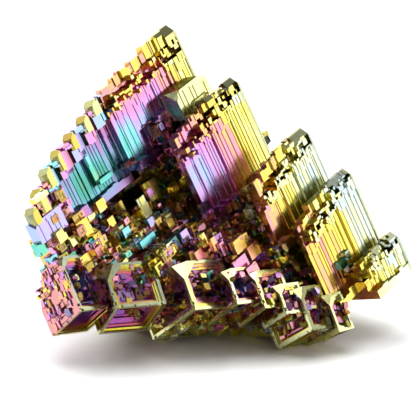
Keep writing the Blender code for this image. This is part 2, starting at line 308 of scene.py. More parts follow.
# %% Hearts of the film
HEARTS = (
    # place across, up, out from the apex (mm), radius (mm), thickness added
    ((-13.5, -27.5, 12.0), 8.0, 0.57),
    ((-8.0, -19.5, 5.0), 6.5, 0.40),
    ((-3.0, -13.0, 2.0), 5.5, 0.24),
    ((5.5, -26.5, 9.0), 8.0, 0.34),
    ((-14.0, -46.0, 22.0), 12.0, 0.20),
    ((11.0, -43.0, 17.0), 9.0, 0.31),
    ((-26.0, -35.0, 22.0), 6.0, 0.22),
    ((24.0, -20.0, 8.0), 8.0, -0.11),
    ((32.0, -29.0, 8.0), 10.0, -0.13),
    ((41.0, -38.0, 8.0), 7.0, -0.12),
)
BASE_THICKNESS = 0.19


def film_map(places):
    """Film at world places, mm: base plus, per heart, swell times e^-(distance/radius) squared."""
    total = np.full(np.shape(places)[:-1], BASE_THICKNESS)
    for place, radius, swell in HEARTS:
        distance = np.linalg.norm(places - layout_point(place), axis=-1)
        total += swell * np.exp(-(distance / radius) ** 2)
    return total


# %% [markdown]
# ## The fins
#
# Four tall fins and a short fifth stand one behind the other, each a hopper crystal seen edge on,
# and a low sixth one stands in the shelter of the first. A face steps down to the left in long
# narrow plates, which reads as stripes: each plate mirrors the light and each small wall between
# two plates is dark. The heads of the plates follow the pit's slope, and between them and the ridge
# lies a rough crust. A fin is solid where a cell is below the ridge, behind the stepped face and in
# front of the back, so three height arrays describe it completely.

# %% The fins' sizes, in coarse terraces from the first apex
FIN_TOPS = (-6, 28, 61, 86, 124, 12)
FIN_FRONTS = (3, 31, 63, 79, 92, -6)
FIN_FEET = (30, 80, 102, 138, 142, 48)
FIN_STARTS = (0, 0, 0, 0, 0, 60)
FIN_WIDTHS = (60, 52, 46, 44, 30, 42)
FIN_LAYERS = (2, 2, 2, 2, 4, 2)
LAYER_THICK = 5
LAYER_FALL = 2
RIDGE_FLATS = (10, 18, 18, 18, 18, 4)
RIDGE_FALLS = (0.16, 0.18, 0.22, 0.25, 0.2, 0.3)
HEADS = ((30, 0.10), (15, 0.29), (16, 0.33), (13, 0.36), (9, 0.30), (10, 0.12))
BACK_START = 48                      # fine terraces from the right edge to the thick back
RIM_WIDTH = 3                        # fine terraces
DEEPEST = 14                         # fine terraces down to the lowest plate
WALL = 3                             # fine terraces left behind the deepest hollow
CRUST_TALL = 16                      # fine terraces of crust above the plates' heads
KNOB_SHARES = (0.35, 0.35, 0.6, 0.7, 0.6, 0.4)
SECOND_FLIGHT = (36, 47, 0.17)       # terraces: where the first fin's second flight begins, its
                                     # foot there, and how that foot rises to the left
FOOT_SILL = 8                        # fine terraces of metal kept below the plates' feet
PLATE_WIDTHS = (4, 11)               # these ranges, in fine terraces, are drawn from at random
GROOVED_WIDTH = 6                    # a plate wider than this gets a groove
SHOULDERS = (3, 14)                  # how far down a plate's head lies one terrace higher
FACET_WIDTHS = (3, 9)
CRUST_SIZES = (2, 6)
CRUST_DEPTHS = (6, 15)               # how far the crust's hollows lie below the plate's level
RIDGE_WIDTHS = (5, 11)
RIDGE_BUMPS = (-1, 4)
SMOOTH_APEX = 8                      # fine terraces next to the apex that have no bumps


def runs(length, shortest, longest):
    """Ends of neighbouring stretches with random lengths, up to the given length."""
    sizes = rng.integers(shortest, longest + 1, 1 + length // shortest)
    ends = np.concatenate(([0], np.cumsum(sizes)))
    ends = np.append(ends[ends < length], length)
    return list(zip(ends[:-1], ends[1:]))


def head_line(index, left):
    """How far down, in fine terraces, a fin's plates begin at a place to the left."""
    start, slope = HEADS[index]
    return start + slope * left


def plate_depths(index, tall, wide, foot_line):
    """Depth of the stepped face, and of its plates: each lies lower than the one to its right."""
    depth = np.zeros((tall, wide), dtype=int)
    levels = np.zeros(wide, dtype=int)
    level = 0
    for low, high in runs(wide - RIM_WIDTH, *PLATE_WIDTHS):
        low, high = low + RIM_WIDTH, high + RIM_WIDTH
        level += int(rng.choice((1, 1, 1, 2, 3)))
        level -= pick(2, 5) if level > DEEPEST else 0
        head = int(head_line(index, low) + rng.integers(-2, 4))
        foot = int(foot_line(low) + rng.integers(-3, 3))
        depth[head:foot, low:high] = level
        levels[low:high] = level
        shoulder = pick(*SHOULDERS)
        depth[head:head + shoulder, low:high] = level - 1
        if high - low > GROOVED_WIDTH:
            groove = low + pick(2, high - low - 2)
            depth[head + 2:foot, groove:groove + 1] = level + pick(1, 4)
        crust(depth[:head, low:high], level, KNOB_SHARES[index])
    return depth, levels


def crust(zone, level, knob_share):
    """Smooth facets along the ridge, then a belt of hollows, dark from their depth and from painted
    shade, and a few knobs.
    """
    tall, wide = zone.shape
    belt = max(0, tall - CRUST_TALL)
    for low, high in runs(wide, *FACET_WIDTHS):
        zone[:belt, low:high] = max(0, level - pick(1, 5))
    for low, high in runs(tall - belt, *CRUST_SIZES):
        for left, right in runs(wide, *CRUST_SIZES):
            hollow = level + pick(*CRUST_DEPTHS)
            knob = int(rng.choice((0, 1, 2, level)))
            zone[belt + low:belt + high, left:right] = knob if rng.random() < knob_share else hollow


def ridge_tops(index, thick, wide):
    """Height of the ridge for each cell of thickness and width, counted down from the apex."""
    tops = np.zeros((thick, wide), dtype=int)
    for low, high in runs(wide, *RIDGE_WIDTHS):
        fall = RIDGE_FALLS[index] * max(0, low - 2 * RIDGE_FLATS[index])
        for layer, start in enumerate(range(0, thick, 2 * LAYER_THICK)):
            bump = pick(*RIDGE_BUMPS) if low > SMOOTH_APEX else 0
            end = thick - start
            tops[max(0, end - 2 * LAYER_THICK):end, low:high] = fall + 2 * LAYER_FALL * layer + bump
    return np.maximum(tops, 0)


def foot_line(index):
    """How far down the fin's plates reach, as a function of the place to the left."""
    foot = 2.0 * (FIN_FEET[index] - FIN_TOPS[index])
    if index > 0:
        return lambda left: foot + 0.0 * left
    turn, low, rise = SECOND_FLIGHT
    second = 2.0 * (low - FIN_TOPS[0])
    return lambda left: np.where(left > 2 * turn, second - rise * (left - 2 * turn), foot)


def fin_cells(index):
    """Solid cells of a fin: below the ridge, above the foot, behind the face, before the back."""
    wide = 2 * FIN_WIDTHS[index]
    thick = 2 * LAYER_THICK * FIN_LAYERS[index]
    feet = (foot_line(index)(np.arange(wide)) + FOOT_SILL).astype(int)
    tall = int(feet.max())
    depth, levels = plate_depths(index, tall, wide, foot_line(index))
    tops = ridge_tops(index, thick, wide)
    back = np.zeros((tall, wide), dtype=int)
    if FIN_LAYERS[index] > 2:
        back[:, :BACK_START] = thick - 4 * LAYER_THICK
    depth = np.minimum(depth, thick - back - WALL)
    down, front, _ = np.ogrid[:tall, :thick, :wide]
    solid = (down >= tops[None]) & (down < feet[None, None, :])
    solid &= (front < (thick - depth)[:, None, :]) & (front >= back[:, None, :])
    return solid, thick, levels


# %% Fins with their chamfered rims
FILM_BY_DEPTH = 0.010                # thicker film on lower plates, for each fine terrace
# Painted shade on faces sunk well below their plate, such as the crust's hollows.
DEEP_PLATE_PAINTED_SHADE = 0.6
RIM_CHAMFER = 1.1                    # mm, from the right edge to where the bevel starts
RIM_TILT = 0.2
# Painted shade all over a fin: the sixth one stands in the shelter of the first.
FIN_PAINTED_SHADES = (0.0, 0.0, 0.0, 0.0, 0.0, 0.35)
TOP_CHAMFER = 1.5                    # mm, from the top edge to where its bevel starts
TOP_TILT = 0.8
APEX_CUT = 1.9                       # mm, from the apex to its three-sided cut
BEVEL_BARE = 0.6
LEAN_RIGHT = 0.5                     # lean of the growth lines at a fin's right edge,
LEAN_RISE = 1.3                      # how much more at its left end, and the most of all
LEAN_MOST = 1.2


def add_fin(cluster, index):
    """One fin, its right edge and apex cut to the grey bevels that the real rims have."""
    cells, thick, levels = fin_cells(index)
    down, front, left = LATTICE
    start = FIN_STARTS[index]
    counts = np.array((FIN_TOPS[index], FIN_FRONTS[index], start))
    corner = APEX + TERRACE * counts @ LATTICE
    bm = crystal_mesh(cells, LATTICE, corner - front * thick * FINE)
    if start == 0:
        trim(bm, corner + left * RIM_CHAMFER, front - left * RIM_TILT)
        trim(bm, corner + down * TOP_CHAMFER, front - down * TOP_TILT)
        trim(bm, corner + down * APEX_CUT, front - down - left)
    middles, normals = face_table(bm, LATTICE, corner)
    bevel = np.abs(normals).max(axis=1) < SQUARE_ON
    column = np.clip(middles[:, 2].astype(int), 0, len(levels) - 1)
    # Faces sunk well below their plate get painted shade, and so does the whole sixth fin.
    hollow = -middles[:, 1] > levels[column] + 4
    film = FILM_BY_DEPTH * np.clip(-middles[:, 1], 0, DEEPEST)
    lean = LEAN_RIGHT + LEAN_RISE * middles[:, 2] / len(levels)
    lean = np.clip(lean, 0.0, LEAN_MOST) * (normals[:, 1] > FACING)
    dark = np.maximum(DEEP_PLATE_PAINTED_SHADE * hollow, FIN_PAINTED_SHADES[index])
    cluster.add(bm, film=film, spread=0.05, rim=BEVEL_BARE * bevel, dark=dark, lean=lean)


fins = Cluster()
for number in range(len(FIN_TOPS)):
    add_fin(fins, number)
fins_piece = fins.finish("fins")

# %% [markdown]
# ## The lump that carries the crystals
#
# Behind and below the fins lies a lump of grown-together blocks, broken flat underneath. It is
# filled block by block inside a convex envelope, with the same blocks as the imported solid, because
# what shows of it between the crystals has to be where the solid is. It could be one smooth hull,
# but a hull would not throw the stepped dark shadows that make the gaps look deep.

# %% Blocks inside the envelope
SPACE_LOW = np.array((-8, -44, -4))
SPACE_HIGH = np.array((160, 100, 146))
LUMP = (
    (-4.0, -9.0, -2.2), (-23.8, -33.5, 20.9), (-23.0, -39.6, 20.5), (-13.5, -51.1, 16.2),
    (27.0, -52.2, 11.2), (37.4, -42.1, 6.5), (38.2, -44.5, 4.7), (14.9, -17.5, 3.2),
    (-7.9, -55.1, 3.6), (23.9, -55.8, 5.8), (-4.0, -50.2, -8.8), (26.6, -50.8, -7.2),
    (-8.6, -13.9, -4.0), (13.1, -17.5, -5.4),
)
HOLLOW_LEFT = (36, 104)              # terraces left where the open hollow widens and ends
HOLLOW_FOOT = 60
HOLLOW_FRONT = -7
HOLLOW_RISE = 1.5
LUMP_BLOCK = (6, 11)
LUMP_ROUGH = 0.8
LUMP_SEED = 83


def envelope_planes(corners):
    """Normals and offsets of the planes of the convex hull round the corners."""
    bm = bmesh.new()
    for corner in corners:
        bm.verts.new(corner)
    bmesh.ops.convex_hull(bm, input=bm.verts[:])
    bmesh.ops.recalc_face_normals(bm, faces=bm.faces[:])
    normals = np.array([face.normal[:] for face in bm.faces])
    offsets = np.array([face.normal.dot(face.verts[0].co) for face in bm.faces])
    bm.free()
    return normals, offsets


def lump_edges(draw, low, high):
    """Block edges along one axis, with random widths."""
    edges = [low]
    while edges[-1] < high:
        edges.append(edges[-1] + int(draw.integers(LUMP_BLOCK[0], LUMP_BLOCK[1] + 1)))
    return np.array(edges)


def front_limit(down, left):
    """Farthest front of the lump: behind the first fin whose foot is still lower than a place."""
    limit = np.full(down.shape, float(FIN_FRONTS[4]))
    for index in (4, 3, 2, 1, 0):
        limit[down < FIN_FEET[index]] = FIN_FRONTS[index]
    limit[down < HOLLOW_FOOT] = FIN_FRONTS[0]
    hollow = HOLLOW_FRONT + HOLLOW_RISE * np.maximum(0, down - HOLLOW_FOOT)
    in_hollow = (left > HOLLOW_LEFT[0]) & (left <= HOLLOW_LEFT[1])
    return np.where(in_hollow, np.minimum(limit, hollow), limit)


def lump_cells():
    """Coarse cells of the lump: blocks whose middles lie inside the envelope, roughened."""
    draw = np.random.default_rng(LUMP_SEED)
    normals, offsets = envelope_planes(layout_point(LUMP))
    edges = [lump_edges(draw, low, high) for low, high in zip(SPACE_LOW, SPACE_HIGH)]
    middles = np.stack(np.meshgrid(*[(e[1:] + e[:-1]) / 2 for e in edges], indexing="ij"), -1)
    reach = draw.uniform(-LUMP_ROUGH, LUMP_ROUGH, middles.shape[:3])
    places = APEX + TERRACE * middles @ LATTICE
    inside = np.all(places @ normals.T < offsets + reach[..., None], axis=-1)
    inside &= middles[..., 1] < front_limit(middles[..., 0], middles[..., 2]) - 2
    inside &= middles[..., 2] > 0
    cells = inside
    for axis in range(3):
        cells = np.repeat(cells, np.diff(edges[axis]), axis=axis)
    size = SPACE_HIGH - SPACE_LOW
    return cells[:size[0], :size[1], :size[2]]


def fill_box(cells, low, high, solid):
    """Make a box of coarse cells solid or empty, between two counts of the lattice."""
    spans = zip(np.array(low) - SPACE_LOW, np.array(high) - SPACE_LOW)
    cells[tuple(slice(first, last) for first, last in spans)] = solid


def clear_fin_faces(cells):
    """Empty the lump where it would stand in front of a fin's sunken plates."""
    tables = zip(FIN_TOPS, FIN_FRONTS, FIN_FEET, FIN_STARTS, FIN_WIDTHS)
    for top, front, foot, start, wide in tables:
        fill_box(cells, (top, front - DEEPEST // 2 - 1, start),
                 (foot, front + LAYER_THICK, start + wide), False)
    return cells


lump_solid = clear_fin_faces(lump_cells())
lump = Cluster()
bm = crystal_mesh(lump_solid.copy(), LATTICE, APEX + TERRACE * SPACE_LOW @ LATTICE, TERRACE)
trim(bm, *FLOOR_CUT)
lump.add(bm, spread=0.08)
lump_piece = lump.finish("lump")

# %% [markdown]
# ## Skeletal cubes
#
# The front row is the cubic form in its plainest state: a frame round a pit whose walls go down in
# fine steps, and one corner cut to a bright triangle. Each step's run and drop is drawn at random
# on each of the four sides, so that the pit's lines crowd on one side as they do in real ones. The
# first cube has no pit in its left side, which is a plain wall with growth grooves.

# %% A cube with stepped pits
FRONT_ROW = (
    ((-15.5, -50.2, 27.0), (10.8, 8.1, 9.4), (115.0, 5.0, 222.0), 2.0),
    ((-9.5, -49.7, 26.1), (9.0, 9.9, 9.4), (109.0, 3.0, 236.0), 3.6),
    ((4.3, -50.2, 24.3), (9.4, 10.4, 13.0), (110.0, 3.0, 217.0), 3.4),
    ((11.7, -49.3, 22.3), (6.8, 6.8, 9.4), (110.0, 5.0, 219.0), 2.2),
    ((16.6, -50.0, 21.2), (7.2, 6.5, 8.6), (110.0, 5.0, 221.0), 2.0),
    ((20.4, -51.1, 20.9), (5.8, 5.4, 6.8), (110.0, 5.0, 217.0), 1.8),
    ((25.0, -54.0, 19.8), (8.3, 6.1, 9.4), (110.0, 5.0, 212.0), 2.4),
    ((29.9, -54.5, 17.1), (7.2, 4.0, 9.0), (110.0, 12.0, 209.0), 2.2),
)
LEFT_BREAK = -22.9                   # mm across, where the first cube's left side ends
FRAME_WIDTH = 3                      # fine terraces
PIT_STEEPNESS = 3                    # fine terraces down, at most, for each step of a pit
PIT_REACH = 0.5                      # a pit goes down to this share of its crystal
CORNER_SKIN = 4                      # fine terraces kept solid behind a cut corner
CORNER_TILT = 0.6                    # how steeply a corner's cut faces up: 1 is even-handed
FRAME_AIM = 0.14                     # the film of a cube's frame
PIT_FILM = 0.045                     # and each fine terrace of its pit has this much more
PIT_FILM_DEPTH = 9
PIT_PAINTED_SHADE = 0.15                      # painted shade in the pits' depths, as a share towards near black
PIT_START = -0.16                    # film of a pit's rim, against its surroundings
# The frames are darkened evenly by this share.
FRAME_DARK = 0.12
BROKEN_AIM = 0.40                    # the film on the first cube's solid left side
BROKEN_FILM = 0.07                   # and how much more each fine terrace down has there
BROKEN_GROOVES = 26
BROKEN_CRUMBS = 46
CORNER_AIM = 0.15                    # the film of a cut corner
CRUMBS_PER_CUBE = 40
CHIPS_PER_CUBE = 26
CRUMB_SIZES = (3, 8)                 # fine terraces
CRUMB_AIMS = (0.22, 0.34, 0.42, 0.47, 0.52, 0.6)
PIT_SHARES = (0.12, 0.88)            # where along a cube's edges its crumbs may sit,
WALL_SHARES = (0.0, 0.2)             # near a wall of the pit,
SIDE_SHARES = (0.05, 0.95)           # and on the first cube's left side
PIT_TURN = 0.25                      # radians, how far crumbs are typically turned in a pit
SIDE_TURN = 0.15                     # and on the side
CRUMBS_LEANING = 0.2
CRUMB_LOWEST = 1.5                   # mm, from the floor to the lowest crumb's middle
CRUMB_PAINTED_SHADE = 0.6                     # painted shade on the darkest crumbs in a pit, as a share towards near black


def sink_pit(cells, axis, frame_width):
    """Cut a stepped pit into the near side across one axis, with its own run on each side."""
    sizes = cells.shape
    along = [other for other in range(3) if other != axis]
    low = {other: frame_width for other in along}
    high = {other: sizes[other] - frame_width for other in along}
    depth = pick(2, 4)
    while depth < PIT_REACH * sizes[axis] and all(high[other] - low[other] > 3 for other in along):
        window = [slice(None)] * 3
        window[axis] = slice(0, depth)
        for other in along:
            window[other] = slice(low[other], high[other])
            low[other] += pick(1, 4)
            high[other] -= pick(1, 4)
        cells[tuple(window)] = False
        depth += pick(1, 1 + PIT_STEEPNESS)


def turned_axes(base, spread, count):
    """Square edges near the given ones, each set turned by its own small random turn."""
    axis = rng.normal(size=(count, 3))
    axis /= np.linalg.norm(axis, axis=1, keepdims=True)
    angle = rng.normal(0, spread, count)[:, None, None]
    cross = np.zeros((count, 3, 3))
    cross[:, 0, 1], cross[:, 0, 2], cross[:, 1, 2] = -axis[:, 2], axis[:, 1], -axis[:, 0]
    cross -= cross.transpose(0, 2, 1)
    turn = np.eye(3) + np.sin(angle) * cross + (1 - np.cos(angle)) * cross @ cross
    return base @ turn.transpose(0, 2, 1)


def centred_crystal(cells, centre, axes):
    """A crystal of cells whose middle is at a place."""
    return crystal_mesh(cells, axes, centre - (np.array(cells.shape) / 2 * FINE) @ axes)


def hopper_block(centre, cells_across, axes):
    """A small crystal with stepped pits in all six sides, centred on a place."""
    cells = np.ones(cells_across, dtype=bool)
    for axis in range(3):
        sink_pit(cells, axis, 1)
        sink_pit(cells[::-1, ::-1, ::-1], axis, 1)
    return centred_crystal(cells, centre, axes)


def stepped_block(centre, cells_across, axes, bites=3):
    """A small crystal with a few of its corners grown only in part, centred on a place."""
    cells = np.ones(cells_across, dtype=bool)
    for _ in range(bites):
        window = []
        for size in cells_across:
            bite = pick(1, max(2, size // 2))
            window.append(slice(0, bite) if rng.random() < 0.5 else slice(size - bite, None))
        cells[tuple(window)] = False
    return centred_crystal(cells, centre, axes)


def film_toward(aim, places):
    """Film offsets that bring the map to the aimed thickness at some places."""
    return aim - film_map(places)


def chip(cells):
    """Break small notches out of a cube's outer edges."""
    for _ in range(CHIPS_PER_CUBE):
        along = pick(0, 3)
        window = [slice(0, pick(1, 3))] * 3
        for axis in range(3):
            if axis != along and rng.random() < 0.3:
                window[axis] = slice(cells.shape[axis] - pick(1, 3), None)
        at = pick(0, cells.shape[along] - 2)
        window[along] = slice(at, at + pick(1, 5))
        cells[tuple(window)] = False


def groove_left_side(cells):
    """Shallow growth grooves, long ones across short ones, in a cube's whole left side."""
    tall, _, wide = cells.shape
    for _ in range(BROKEN_GROOVES):
        low, near = pick(0, tall - 6), pick(0, wide - 6)
        long, short = pick(8, 30), pick(1, 4)
        if rng.random() < 0.6:
            long, short = short, long
        cells[low:low + long, :pick(1, 4), near:near + short] = False


def skeletal_cube(corner, edges, slopes, cut):
    """A skeletal cube as a bmesh, mm, three stepped pits and one cut corner, with its numbers."""
    axes = square_edges(slopes)
    sizes = [round(edge / FINE) for edge in edges]
    cells = np.ones(sizes, dtype=bool)
    broken_off = corner == FRONT_ROW[0][0]
    for axis in (0, 2) if broken_off else (0, 1, 2):
        sink_pit(cells, axis, FRAME_WIDTH)
    if broken_off:
        groove_left_side(cells)
    chip(cells)
    up, right, below = np.ogrid[:sizes[0], :sizes[1], :sizes[2]]
    cells[(sizes[0] - up) + right + below < cut / FINE + CORNER_SKIN] = True
    origin = layout_point(corner)
    bm = crystal_mesh(cells, axes, origin)
    trim(bm, origin + axes[0] * (sizes[0] * FINE - cut),
         axes[0] * CORNER_TILT - axes[1] - axes[2])
    if broken_off:
        trim(bm, layout_point((LEFT_BREAK, 0.0, 0.0)), (-1.0, 0.0, 0.0))
    trim(bm, *FLOOR_CUT)
    middles, normals = face_table(bm, axes, origin)
    deep = np.clip(middles.min(axis=1), 0, PIT_FILM_DEPTH)
    film = PIT_FILM * deep + PIT_START
    bevel = np.abs(normals).max(axis=1) < SQUARE_ON
    frame = (deep < 1) & ~bevel
    film = np.where(bevel, CORNER_AIM, np.where(frame, FRAME_AIM, film))
    zoned = 1.0 - (bevel | frame)
    if broken_off:
        broken = (normals[:, 1] < -FACING) & (middles[:, 1] < 4)
        film = np.where(broken, BROKEN_AIM + BROKEN_FILM * middles[:, 1], film)
        zoned = np.where(broken, 0.0, zoned)
    # Painted shade, deeper in the pits; the frames are darkened evenly as well.
    dark = PIT_PAINTED_SHADE * deep / PIT_FILM_DEPTH * (deep > 2) + FRAME_DARK * frame
    return bm, film, dark, zoned


def crumb_place(corner, share, edges, axes):
    """A crumb's middle, at shares of the way along a cube's edges, and not below the floor."""
    centre = layout_point(corner) + (share * edges) @ axes
    centre[2] = max(centre[2], CRUMB_LOWEST)
    return centre


def add_crumb(cluster, crumb, centre, aim, dark=0.0):
    """Gather a crumb whose film has the aimed thickness; some of them lean."""
    lean = float(rng.random() < CRUMBS_LEANING)
    cluster.add(crumb, film=film_toward(aim, centre), dark=dark, lean=lean)


def pit_crumbs(cluster, corner, edges, slopes):
    """Small crystals grown on the walls of a skeletal cube's pits."""
    axes = square_edges(slopes)
    for _ in range(CRUMBS_PER_CUBE):
        share = rng.uniform(*PIT_SHARES, 3)
        share[rng.integers(1, 3)] = rng.uniform(*WALL_SHARES)
        centre = crumb_place(corner, share, edges, axes)
        size = rng.integers(*CRUMB_SIZES, 3)
        turned = turned_axes(axes, PIT_TURN, 1)[0]
        aim = float(rng.choice(CRUMB_AIMS))
        crumb = stepped_block(centre, size, turned)
        # Each crumb in a pit gets its own random painted shade.
        add_crumb(cluster, crumb, centre, aim, dark=rng.uniform(0.0, CRUMB_PAINTED_SHADE))


def side_crumbs(cluster, corner, edges, slopes):
    """Small flat crystals on the whole left side of the first cube."""
    axes = square_edges(slopes)
    for _ in range(BROKEN_CRUMBS):
        share = np.array((rng.uniform(*SIDE_SHARES), 0.0, rng.uniform(*SIDE_SHARES)))
        centre = crumb_place(corner, share, edges, axes)
        size = (pick(3, 9), pick(2, 5), pick(2, 7))
        crumb = stepped_block(centre, size, turned_axes(axes, SIDE_TURN, 1)[0])
        aim = float(rng.choice(CRUMB_AIMS))
        add_crumb(cluster, crumb, centre, aim)


front_row = Cluster()
for row in FRONT_ROW:
    bm, film, dark, zoned = skeletal_cube(*row)
    front_row.add(bm, film=film, spread=0.03, dark=dark, zoned=zoned)
    pit_crumbs(front_row, *row[:3])
side_crumbs(front_row, *FRONT_ROW[0][:3])
front_piece = front_row.finish("front_row")

# %% [markdown]
# ## The ridge to the left
#
# The first fin's ridge goes on as a staircase. Each step is a small hopper crystal of its own: a
# proud cap at its left end, a strip beside it, sunk and made darker by painted shade on the cap's
# side over it, and then narrow plates that sink away to the right, under the cap of the step above.
# The cap's outer corner is cut back four times, which reads as the round shoulder that real caps
# have. The caps, their outer sides and the deeper plates are darkened with painted shade as well.

# %% Steps of the ridge
RIDGE_STEPS = ((70, 3), (79, 7), (91, 10), (103, 13), (114, 17), (124, 23), (132, 29))
RIDGE_THICK = 6
RIDGE_HEIGHT = 15
CAP_WIDTHS = (7, 13)                 # fine terraces, narrowest and widest cap
STRIP_WIDTH = 3
STRIP_DEPTH = 4                      # fine terraces down to the dark strip beside a cap
PLATE_SINK = (3, 9)                  # fine terraces, shallowest and deepest plate of a step
CAP_AIM = 0.21
PLATE_AIM = 0.60
CAP_PAINTED_SHADE = 0.25                      # painted shade, as shares towards near black: on a cap,
OUTER_PAINTED_SHADE = 0.3                     # more on its outer side,
INNER_PAINTED_SHADE = 0.7                     # on its side over the strip,
SUNK_PAINTED_SHADE = 0.2                      # and for each fine terrace that a plate lies below SUNK_FROM
SUNK_FROM = 5.0
SUNK_PAINTED_SHADE_MOST = 0.85
STEP_LEAN = 0.6
CAP_CUTS = (
    # place from the cap's outer corner, mm, and direction, both counted down, front and left
    ((0.0, 0.0, -1.5), (-1.2, 0.3, 1.0)),
    ((1.4, 0.0, -0.4), (-0.5, 0.7, 1.6)),
    ((0.2, 0.0, -1.3), (-1.0, 0.8, 0.0)),
    ((0.0, 0.0, -0.5), (0.0, 0.8, 1.0)),
)


def step_depths(tall, wide, cap):
    """How deep each column of a ridge step's face lies, from its right end to its cap."""
    depth = np.zeros((tall, wide), dtype=int)
    depth[:, cap - STRIP_WIDTH:cap] = STRIP_DEPTH
    for low, high in runs(max(1, cap - STRIP_WIDTH), 2, 4):
        share = 1.0 - low / max(1, cap)
        level = PLATE_SINK[0] + share * (PLATE_SINK[1] - PLATE_SINK[0])
        depth[pick(1, 7):, low:high] = int(level)
    # Lower rows at the plates' heads and feet, and under the cap, keep the step from looking cast.
    depth[:pick(2, 6), :cap] += 2
    depth[-pick(2, 8):, :cap] += 3
    depth[-pick(5, 15):, cap:] = STRIP_DEPTH + 1
    return depth


def ridge_step(cluster, low_left, high_left, top):
    """One step of the staircase with its cap, strip and plates."""
    tall, thick, wide = 2 * RIDGE_HEIGHT, 2 * RIDGE_THICK, 2 * (high_left - low_left)
    cap = wide - pick(*CAP_WIDTHS)
    depth = step_depths(tall, wide, cap)
    front = np.arange(thick)[None, :, None]
    cells = front < (thick - 1 - depth)[:, None, :]
    chip(cells[:, ::-1, ::-1])
    origin = APEX + TERRACE * np.array((top, -RIDGE_THICK, low_left)) @ LATTICE
    bm = crystal_mesh(cells, LATTICE, origin)
    shoulder = origin + (FINE * np.array((0, thick, wide))) @ LATTICE
    for place, facing in CAP_CUTS:
        trim(bm, shoulder + np.array(place) @ LATTICE, np.array(facing) @ LATTICE)
    middles, normals = face_table(bm, LATTICE, origin)
    outer = normals[:, 2] > 0.5
    on_cap = (middles[:, 2] > cap - 0.5) & ((middles[:, 1] > thick - STRIP_DEPTH) | outer)
    sunk = (thick - 1 - middles[:, 1]) * (normals[:, 1] > 0.5)
    aim = np.where(on_cap, CAP_AIM + rng.normal(0.0, 0.03), PLATE_AIM + rng.normal(0.0, 0.1))
    # Painted shade: plates sunk below SUNK_FROM, the cap's side over the strip, the cap and its
    # outer side are darkened towards near black.
    dark = np.where(on_cap, 0.0, np.clip((sunk - SUNK_FROM) * SUNK_PAINTED_SHADE, 0.0, SUNK_PAINTED_SHADE_MOST))
    dark = np.maximum(dark, INNER_PAINTED_SHADE * ((normals[:, 2] < -0.5) & on_cap))
    dark = np.maximum(dark, CAP_PAINTED_SHADE * on_cap + OUTER_PAINTED_SHADE * outer)
    lean = STEP_LEAN * (normals[:, 1] > FACING)
    cluster.add(bm, film=aim, spread=0.04, dark=dark, lean=lean, zoned=0.0)


ridge = Cluster()
start = FIN_WIDTHS[0]
for end, top in RIDGE_STEPS:
    ridge_step(ridge, start, end, top)
    start = end
ridge_piece = ridge.finish("ridge")

# %% [markdown]
# ## Crystals that stand alone
#
# A few crystals are large or bright enough to be known one by one: a smooth block in the gap
# between the first two fins, a striped block at the left end, plates and an arch round the open
# hollow, rods and plates above the front row. They are listed with their place, their size along
# the lattice and the film they carry, and made like any other block.

# %% Known crystals
SMOOTH_BLOCKS = (
    # low and high counts down, front and left in coarse terraces, film, mm cut off the corner,
    # and how far the growth lines lean
    ((21, 36), (4, 15), (10, 30), 0.15, 1.6, 1.1),
    ((30, 38), (10, 17), (10, 22), 0.16, 0.5, 1.1),
    ((26, 44), (-4, 6), (-3, 8), 0.20, 1.0, 1.0),
    ((36, 47), (-8, -1), (114, 133), 0.66, 1.0, 0.2),
)
KNOWN_CRYSTALS = (
    # place across, up, out from the apex (mm), sizes down, front, left (fine terraces), film
    ((-3.9, -29.0, 8.0), (20, 8, 16), 0.26), ((-4.2, -29.6, 9.2), (8, 4, 8), 0.50),
    ((-5.1, -32.2, 11.0), (22, 3, 11), 0.19), ((-9.8, -32.6, 9.0), (14, 6, 12), 0.26),
    ((-14.7, -25.5, 11.8), (30, 5, 5), 0.85), ((-12.2, -26.9, 10.4), (5, 5, 20), 0.85),
    ((-4.7, -38.2, 14.5), (8, 8, 22), 0.79), ((2.0, -37.4, 15.0), (12, 8, 10), 0.68),
    ((4.3, -38.8, 15.3), (10, 6, 8), 0.62), ((5.6, -38.1, 15.8), (14, 5, 6), 0.20),
    ((7.4, -38.8, 16.5), (14, 5, 6), 0.31), ((9.0, -39.6, 16.0), (14, 5, 7), 0.45),
    ((12.2, -42.4, 16.6), (14, 4, 20), 0.47), ((14.3, -43.5, 17.0), (12, 4, 16), 0.50),
    ((11.8, -39.0, 15.8), (14, 6, 16), 0.31), ((14.4, -40.0, 14.2), (14, 6, 16), 0.36),
    ((31.3, -40.9, 11.2), (9, 8, 8), 0.04), ((30.5, -42.5, 11.6), (9, 8, 9), 0.80),
    ((32.0, -43.3, 10.8), (8, 8, 8), 0.02), ((-23.0, -30.5, 25.0), (5, 8, 20), 0.19),
    ((-23.0, -39.4, 22.3), (14, 8, 12), 0.93), ((-8.1, -24.2, 8.2), (6, 8, 14), 0.40),
    ((-5.2, -25.0, 7.0), (6, 8, 12), 0.22), ((-2.0, -23.5, 5.2), (10, 8, 10), 0.36),
    ((0.4, -26.5, 6.0), (10, 8, 10), 0.27), ((5.9, -32.4, 10.5), (12, 6, 10), 0.58),
    ((7.7, -33.3, 10.4), (10, 6, 8), 0.50), ((-0.4, -35.5, 10.8), (12, 6, 9), 0.24),
    ((-13.0, -31.9, 13.2), (12, 7, 12), 0.30), ((-14.9, -33.7, 12.4), (10, 6, 10), 0.26),
    ((-11.2, -34.9, 13.6), (10, 7, 9), 0.30), ((-8.4, -36.7, 14.0), (9, 6, 10), 0.80),
    ((-4.0, -34.9, 13.2), (9, 6, 8), 0.62), ((-19.6, -37.3, 21.6), (12, 8, 12), 0.20),
    ((-17.6, -38.1, 19.4), (10, 8, 10), 0.24), ((23.1, -42.2, 12.2), (12, 8, 14), 0.19),
    ((21.3, -40.0, 12.7), (12, 7, 12), 0.23), ((-15.5, -36.0, 15.0), (8, 6, 12), 0.82),
)
GROOVES_PER_MM = 1.2
